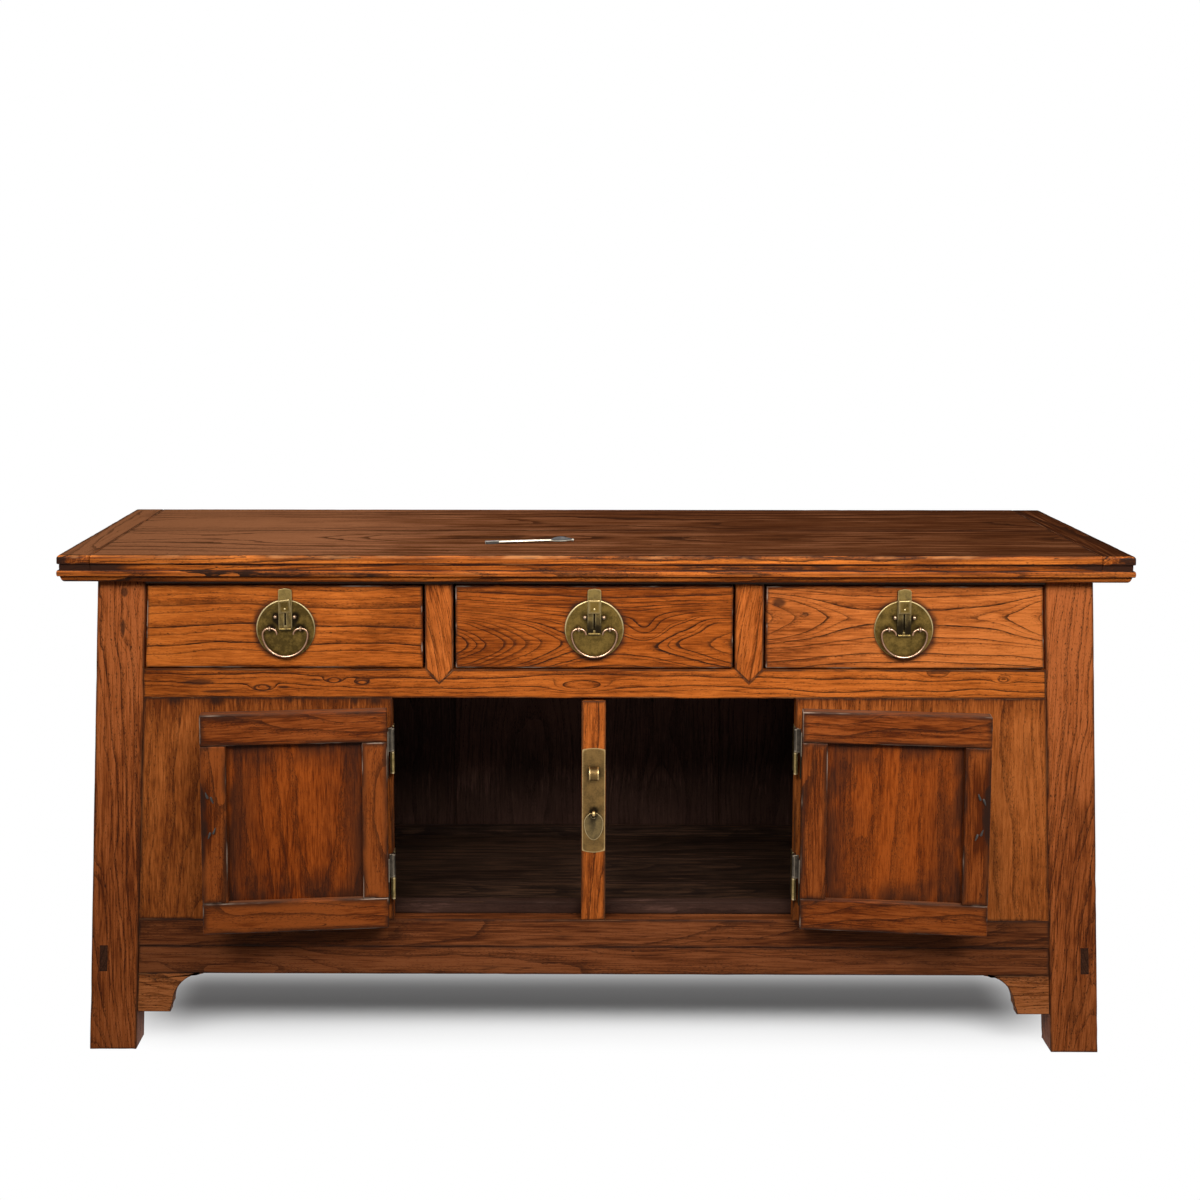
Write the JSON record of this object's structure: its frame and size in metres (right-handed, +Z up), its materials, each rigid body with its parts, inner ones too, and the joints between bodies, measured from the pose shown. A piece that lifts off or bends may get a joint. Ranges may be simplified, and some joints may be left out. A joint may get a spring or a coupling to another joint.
{
  "type": "sideboard",
  "caption": "Solid elm sideboard with splayed legs, drawers with round brass bail pulls and slide bolts, and a cupboard with lift-off doors and a loose centre stile.",
  "frame": {"origin": "on the floor, centred in the width, and in depth on the box that holds the sideboard with its doors standing open as pictured", "axes": "+Z up, +X to the right along the front, -Y out of the front"},
  "size_m": [1.75, 0.5446, 0.8588],
  "materials": {
    "top_wood": "waxed, worn dark elm",
    "frame_wood": "waxed red-brown elm",
    "panel_wood": "waxed orange-brown elm",
    "door_wood": "waxed red-brown elm",
    "inner_wood": "dark unfinished softwood",
    "plate_brass": "olive antique patina",
    "wire_brass": "rubbed coppery brass",
    "hinge_brass": "dull brass",
    "pin_metal": "pale rubbed brass"
  },
  "bodies": {
    "case": {"top_plank_front": "top_wood", "top_plank_rear": "top_wood", "top_cleat_left": "top_wood", "top_cleat_right": "top_wood", "top_edge_moulding": "top_wood", "top_frame_rails": "frame_wood", "top_battens": "inner_wood", "front_leg_left": "frame_wood", "front_leg_right": "frame_wood", "rear_leg_left": "frame_wood", "rear_leg_right": "frame_wood", "front_mid_rail": "frame_wood", "front_bottom_rail": "frame_wood", "front_apron": "frame_wood", "apron_bracket_left": "frame_wood", "apron_bracket_right": "frame_wood", "drawer_dividers": "frame_wood", "front_panel_left": "panel_wood", "front_panel_right": "panel_wood", "side_rails": "frame_wood", "side_panels": "frame_wood", "back_rails": "frame_wood", "back_boards": "inner_wood", "floor_boards": "inner_wood", "floor_bearers": "inner_wood", "door_stop": "inner_wood", "drawer_runners": "inner_wood", "case_hinge_leaves": "hinge_brass"},
    "drawer_left": {"drawer_left_front": "panel_wood", "drawer_left_box": "inner_wood", "drawer_left_pull_plate": "plate_brass"},
    "bolt_left": {"drawer_left_bolt": "plate_brass"},
    "bail_left": {"drawer_left_bail": "wire_brass"},
    "drawer_centre": {"drawer_centre_front": "panel_wood", "drawer_centre_box": "inner_wood", "drawer_centre_pull_plate": "plate_brass"},
    "bolt_centre": {"drawer_centre_bolt": "plate_brass"},
    "bail_centre": {"drawer_centre_bail": "wire_brass"},
    "drawer_right": {"drawer_right_front": "panel_wood", "drawer_right_box": "inner_wood", "drawer_right_pull_plate": "plate_brass"},
    "bolt_right": {"drawer_right_bolt": "plate_brass"},
    "bail_right": {"drawer_right_bail": "wire_brass"},
    "door_left": {"door_left_frame": "door_wood", "door_left_panel": "door_wood", "door_left_lock_plate": "plate_brass", "door_left_lock_eyes": "plate_brass", "door_left_hinge_leaves": "hinge_brass"},
    "pendant_door_left": {"door_left_pendant": "plate_brass"},
    "door_right": {"door_right_frame": "door_wood", "door_right_panel": "door_wood", "door_right_lock_plate": "plate_brass", "door_right_lock_eyes": "plate_brass", "door_right_hinge_leaves": "hinge_brass"},
    "pendant_door_right": {"door_right_pendant": "plate_brass"},
    "centre_stile": {"centre_stile": "panel_wood", "stile_lock_plate": "plate_brass", "stile_lock_eyes": "plate_brass"},
    "stile_pendant": {"stile_pendant": "plate_brass"},
    "lock_pin": {"lock_pin": "pin_metal"}
  },
  "joints": [
    {"name": "drawer_left_slide", "type": "slide", "parent": "case", "child": "drawer_left", "axis": [0, -1, 0], "range_m": [0, 0.28]},
    {"name": "bolt_left_slide", "type": "slide", "parent": "drawer_left", "child": "bolt_left", "axis": [0, 0, 1], "range_m": [0, 0.018]},
    {"name": "bail_left_swing", "type": "hinge", "parent": "drawer_left", "child": "bail_left", "pos_m": [-0.507, -0.2103, 0.7253], "axis": [-1, 0, 0], "range_deg": [0, 90]},
    {"name": "drawer_centre_slide", "type": "slide", "parent": "case", "child": "drawer_centre", "axis": [0, -1, 0], "range_m": [0, 0.28]},
    {"name": "bolt_centre_slide", "type": "slide", "parent": "drawer_centre", "child": "bolt_centre", "axis": [0, 0, 1], "range_m": [0, 0.018]},
    {"name": "bail_centre_swing", "type": "hinge", "parent": "drawer_centre", "child": "bail_centre", "pos_m": [0, -0.2103, 0.7253], "axis": [-1, 0, 0], "range_deg": [0, 90]},
    {"name": "drawer_right_slide", "type": "slide", "parent": "case", "child": "drawer_right", "axis": [0, -1, 0], "range_m": [0, 0.28]},
    {"name": "bolt_right_slide", "type": "slide", "parent": "drawer_right", "child": "bolt_right", "axis": [0, 0, 1], "range_m": [0, 0.018]},
    {"name": "bail_right_swing", "type": "hinge", "parent": "drawer_right", "child": "bail_right", "pos_m": [0.507, -0.2103, 0.7253], "axis": [-1, 0, 0], "range_deg": [0, 90]},
    {"name": "door_left_swing", "type": "hinge", "parent": "case", "child": "door_left", "pos_m": [-0.3325, -0.211, 0.231], "axis": [0, 0, 1], "range_deg": [0, 174.5]},
    {"name": "door_left_pendant_swing", "type": "hinge", "parent": "door_left", "child": "pendant_door_left", "pos_m": [-0.62496, -0.24117, 0.414], "axis": [0.9954, 0.0958, 0], "range_deg": [0, 40]},
    {"name": "door_right_swing", "type": "hinge", "parent": "case", "child": "door_right", "pos_m": [0.3325, -0.211, 0.231], "axis": [0, 0, -1], "range_deg": [0, 174.5]},
    {"name": "door_right_pendant_swing", "type": "hinge", "parent": "door_right", "child": "pendant_door_right", "pos_m": [0.62496, -0.24117, 0.414], "axis": [0.9954, -0.0958, 0], "range_deg": [0, 40]},
    {"name": "centre_stile_lift", "type": "slide", "parent": "case", "child": "centre_stile", "axis": [0, 0, 1], "range_m": [0, 0.0045]},
    {"name": "stile_pendant_swing", "type": "hinge", "parent": "centre_stile", "child": "stile_pendant", "pos_m": [0, -0.209, 0.414], "axis": [-1, 0, 0], "range_deg": [0, 90]},
    {"name": "lock_pin_lift", "type": "slide", "parent": "case", "child": "lock_pin", "axis": [0, 0, 1], "range_m": [0, 0.1]}
  ]
}
